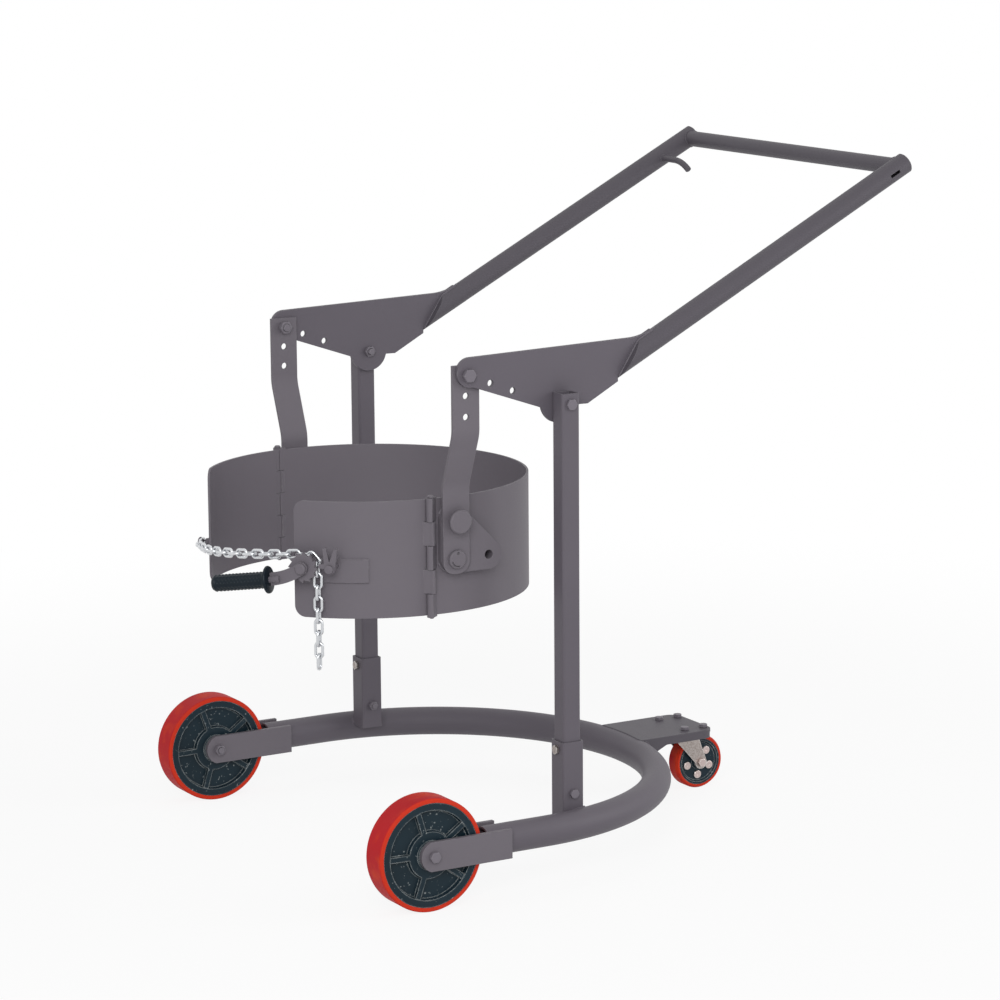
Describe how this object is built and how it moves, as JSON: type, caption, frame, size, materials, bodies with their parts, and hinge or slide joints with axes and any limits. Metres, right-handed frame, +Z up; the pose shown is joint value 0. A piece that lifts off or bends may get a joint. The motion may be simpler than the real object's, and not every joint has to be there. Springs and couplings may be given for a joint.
{
  "type": "drum trolley",
  "caption": "Hand trolley with a bow-shaped wheeled base, posts, a lifting lever and a tilting ring cradle with hinged flaps drawn shut by a ratchet and chain.",
  "frame": {"origin": "on the floor below the centre of the overall box, cradle raised and upright, flaps shut", "axes": "+X to the rear (the handle), +Z up along the cradle's axis, the left side is -Y"},
  "size_m": [1.2978, 0.9256, 1.2323],
  "materials": {
    "frame_paint": "satin paint",
    "cradle_paint": "satin paint",
    "tread": "matte polyurethane",
    "wheel_centre": "moulded",
    "zinc": "zinc plated",
    "chain_steel": "zinc plated",
    "black_grip": "moulded"
  },
  "bodies": {
    "base": {"base_bow": "frame_paint", "fork_straps": "frame_paint", "axle_bolts": "frame_paint", "axle_nuts": "frame_paint", "tail_plate": "frame_paint", "caster_plate": "zinc", "caster_bolts": "frame_paint", "socket_left": "frame_paint", "socket_right": "frame_paint", "post_left": "frame_paint", "post_right": "frame_paint", "socket_bolts": "frame_paint", "clamp_screws": "zinc", "pivot_bolts": "frame_paint", "pivot_nuts": "frame_paint"},
    "front_wheel_left": {"wheel_sleeve_left": "zinc", "wheel_centre_left": "wheel_centre", "wheel_tread_left": "tread"},
    "front_wheel_right": {"wheel_sleeve_right": "zinc", "wheel_centre_right": "wheel_centre", "wheel_tread_right": "tread"},
    "caster": {"caster_fork": "zinc", "caster_axle": "zinc"},
    "caster_wheel": {"caster_wheel_centre": "wheel_centre", "caster_rivets": "zinc", "caster_tread": "tread"},
    "lever": {"lever_plate_left": "frame_paint", "lever_plate_right": "frame_paint", "handle_tube_left": "frame_paint", "handle_tube_right": "frame_paint", "handle_crossbar": "frame_paint", "handle_caps": "frame_paint", "handle_peg": "frame_paint", "hanger_bolts": "frame_paint"},
    "hanger": {"arm_left": "frame_paint", "arm_right": "frame_paint", "lock_sleeves": "cradle_paint"},
    "plunger_left": {"lock_plunger_left": "cradle_paint"},
    "plunger_right": {"lock_plunger_right": "cradle_paint"},
    "cradle": {"saddle": "cradle_paint", "side_bosses": "cradle_paint", "trunnion_pins": "cradle_paint", "hinge_pins": "cradle_paint"},
    "left_flap": {"flap_left": "cradle_paint", "ratchet_base": "cradle_paint", "ratchet_axle": "cradle_paint", "chain_wheel": "cradle_paint", "ratchet_gear": "cradle_paint", "pawl_pin": "cradle_paint", "chain_span": "chain_steel", "chain_tail": "chain_steel"},
    "right_flap": {"flap_right": "cradle_paint", "chain_anchor": "cradle_paint"},
    "ratchet_handle": {"ratchet_lever": "cradle_paint", "ratchet_grip": "black_grip"},
    "ratchet_pawl": {"pawl": "cradle_paint"}
  },
  "joints": [
    {"name": "left_wheel_roll", "type": "hinge", "parent": "base", "child": "front_wheel_left", "pos_m": [-0.40568, -0.42, 0.1], "axis": [0, 1, 0], "continuous": true},
    {"name": "right_wheel_roll", "type": "hinge", "parent": "base", "child": "front_wheel_right", "pos_m": [-0.40568, 0.42, 0.1], "axis": [0, 1, 0], "continuous": true},
    {"name": "caster_swivel", "type": "hinge", "parent": "base", "child": "caster", "pos_m": [0.38834, 0, 0.104], "axis": [0, 0, 1], "continuous": true},
    {"name": "caster_roll", "type": "hinge", "parent": "caster", "child": "caster_wheel", "pos_m": [0.42034, 0, 0.052], "axis": [0, 1, 0], "continuous": true},
    {"name": "lift", "type": "hinge", "parent": "base", "child": "lever", "pos_m": [-0.09168, 0, 0.843], "axis": [0, -1, 0], "range_deg": [0, 34]},
    {"name": "hanger_level", "type": "hinge", "parent": "lever", "child": "hanger", "pos_m": [-0.27368, 0, 0.904], "axis": [0, -1, 0], "range_deg": [-34, 0]},
    {"name": "tilt", "type": "hinge", "parent": "hanger", "child": "cradle", "pos_m": [-0.27368, 0, 0.577], "axis": [0, -1, 0], "range_deg": [0, 90]},
    {"name": "left_lock", "type": "slide", "parent": "hanger", "child": "plunger_left", "axis": [0, 1, 0], "range_m": [0, 0.007]},
    {"name": "right_lock", "type": "slide", "parent": "hanger", "child": "plunger_right", "axis": [0, -1, 0], "range_m": [0, 0.007]},
    {"name": "left_flap_open", "type": "hinge", "parent": "cradle", "child": "left_flap", "pos_m": [-0.31568, -0.29276, 0.5815], "axis": [0, 0, 1], "range_deg": [0, 95]},
    {"name": "right_flap_open", "type": "hinge", "parent": "cradle", "child": "right_flap", "pos_m": [-0.31568, 0.29276, 0.5815], "axis": [0, 0, -1], "range_deg": [0, 95]},
    {"name": "ratchet_swing", "type": "hinge", "parent": "left_flap", "child": "ratchet_handle", "pos_m": [-0.50037, -0.19273, 0.573], "axis": [-0.7472, -0.6646, 0], "range_deg": [-45, 60]},
    {"name": "pawl_rock", "type": "hinge", "parent": "left_flap", "child": "ratchet_pawl", "pos_m": [-0.46781, -0.22934, 0.573], "axis": [-0.7472, -0.6646, 0], "range_deg": [-12, 0]}
  ],
  "couplings": [
    {"joint": "hanger_level", "follows": "lift", "ratio": -1}
  ]
}
